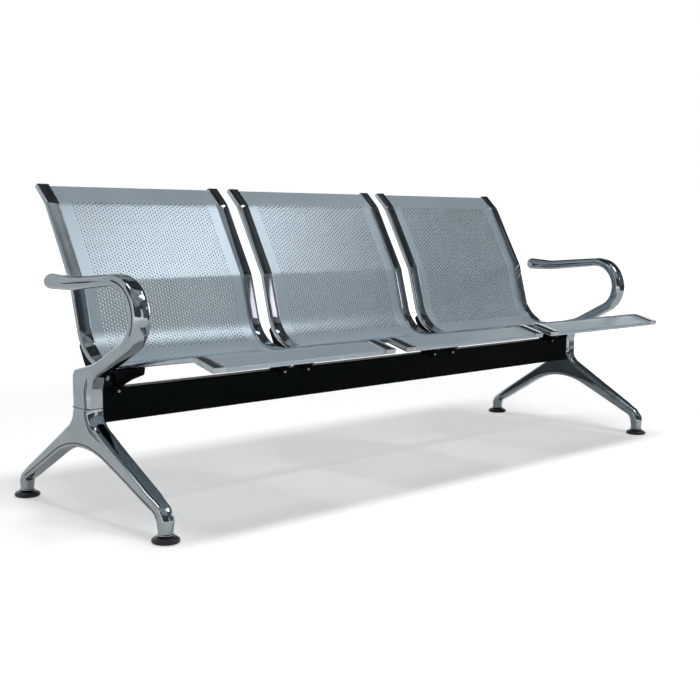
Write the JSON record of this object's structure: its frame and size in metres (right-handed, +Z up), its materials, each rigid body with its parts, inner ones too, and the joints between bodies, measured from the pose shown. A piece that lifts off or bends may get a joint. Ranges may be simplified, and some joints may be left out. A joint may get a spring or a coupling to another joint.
{
  "type": "beam seating",
  "caption": "Beam seating: perforated bent-sheet seats in chromed rails on a steel beam, with cast chrome legs that carry looped armrests and levelling feet.",
  "frame": {"origin": "on the floor under the middle of the whole seat", "axes": "+X along the beam, towards the end on the right of a person who faces the seats; +Y towards the back; +Z up"},
  "size_m": [1.866, 0.6646, 0.7337],
  "materials": {
    "chrome_casting": "polished",
    "chrome_rail": "polished",
    "silver_sheet": "satin silver powder coat",
    "black_steel": "semi-gloss black powder coat",
    "black_casting": "semi-gloss black powder coat",
    "zinc_steel": "bright zinc",
    "foot_plastic": "moulded"
  },
  "bodies": {
    "bench": {"beam": "black_steel", "leg_left": "chrome_casting", "armrest_left": "chrome_casting", "leg_right": "chrome_casting", "armrest_right": "chrome_casting", "seat_shell_1": "silver_sheet", "side_rail_1_left": "chrome_rail", "beam_saddle_1_left": "black_steel", "seat_arm_1_left": "black_casting", "side_rail_1_right": "chrome_rail", "beam_saddle_1_right": "black_steel", "seat_arm_1_right": "black_casting", "seat_shell_2": "silver_sheet", "side_rail_2_left": "chrome_rail", "beam_saddle_2_left": "black_steel", "seat_arm_2_left": "black_casting", "side_rail_2_right": "chrome_rail", "beam_saddle_2_right": "black_steel", "seat_arm_2_right": "black_casting", "seat_shell_3": "silver_sheet", "side_rail_3_left": "chrome_rail", "beam_saddle_3_left": "black_steel", "seat_arm_3_left": "black_casting", "side_rail_3_right": "chrome_rail", "beam_saddle_3_right": "black_steel", "seat_arm_3_right": "black_casting", "cross_bolts": "zinc_steel", "tongue_bolts": "zinc_steel", "armrest_bolts": "zinc_steel", "rail_caps": "chrome_rail"},
    "stud_left_front": {"foot_stud_left_front": "zinc_steel"},
    "base_left_front": {"foot_base_left_front": "foot_plastic"},
    "stud_left_rear": {"foot_stud_left_rear": "zinc_steel"},
    "base_left_rear": {"foot_base_left_rear": "foot_plastic"},
    "stud_right_front": {"foot_stud_right_front": "zinc_steel"},
    "base_right_front": {"foot_base_right_front": "foot_plastic"},
    "stud_right_rear": {"foot_stud_right_rear": "zinc_steel"},
    "base_right_rear": {"foot_base_right_rear": "foot_plastic"}
  },
  "joints": [
    {"name": "foot_travel_left_front", "type": "slide", "parent": "bench", "child": "stud_left_front", "axis": [0, 0, -1], "range_m": [0, 0.01226]},
    {"name": "foot_turn_left_front", "type": "hinge", "parent": "stud_left_front", "child": "base_left_front", "pos_m": [-0.903, -0.24444, 0], "axis": [0, 0, -1], "range_deg": [0, 2520]},
    {"name": "foot_travel_left_rear", "type": "slide", "parent": "bench", "child": "stud_left_rear", "axis": [0, 0, -1], "range_m": [0, 0.01226]},
    {"name": "foot_turn_left_rear", "type": "hinge", "parent": "stud_left_rear", "child": "base_left_rear", "pos_m": [-0.903, 0.29756, 0], "axis": [0, 0, -1], "range_deg": [0, 2520]},
    {"name": "foot_travel_right_front", "type": "slide", "parent": "bench", "child": "stud_right_front", "axis": [0, 0, -1], "range_m": [0, 0.01226]},
    {"name": "foot_turn_right_front", "type": "hinge", "parent": "stud_right_front", "child": "base_right_front", "pos_m": [0.903, -0.24444, 0], "axis": [0, 0, -1], "range_deg": [0, 2520]},
    {"name": "foot_travel_right_rear", "type": "slide", "parent": "bench", "child": "stud_right_rear", "axis": [0, 0, -1], "range_m": [0, 0.01226]},
    {"name": "foot_turn_right_rear", "type": "hinge", "parent": "stud_right_rear", "child": "base_right_rear", "pos_m": [0.903, 0.29756, 0], "axis": [0, 0, -1], "range_deg": [0, 2520]}
  ],
  "couplings": [
    {"joint": "foot_travel_left_front", "follows": "foot_turn_left_front", "m_per_rad": 0.00027852},
    {"joint": "foot_travel_left_rear", "follows": "foot_turn_left_rear", "m_per_rad": 0.00027852},
    {"joint": "foot_travel_right_front", "follows": "foot_turn_right_front", "m_per_rad": 0.00027852},
    {"joint": "foot_travel_right_rear", "follows": "foot_turn_right_rear", "m_per_rad": 0.00027852}
  ]
}
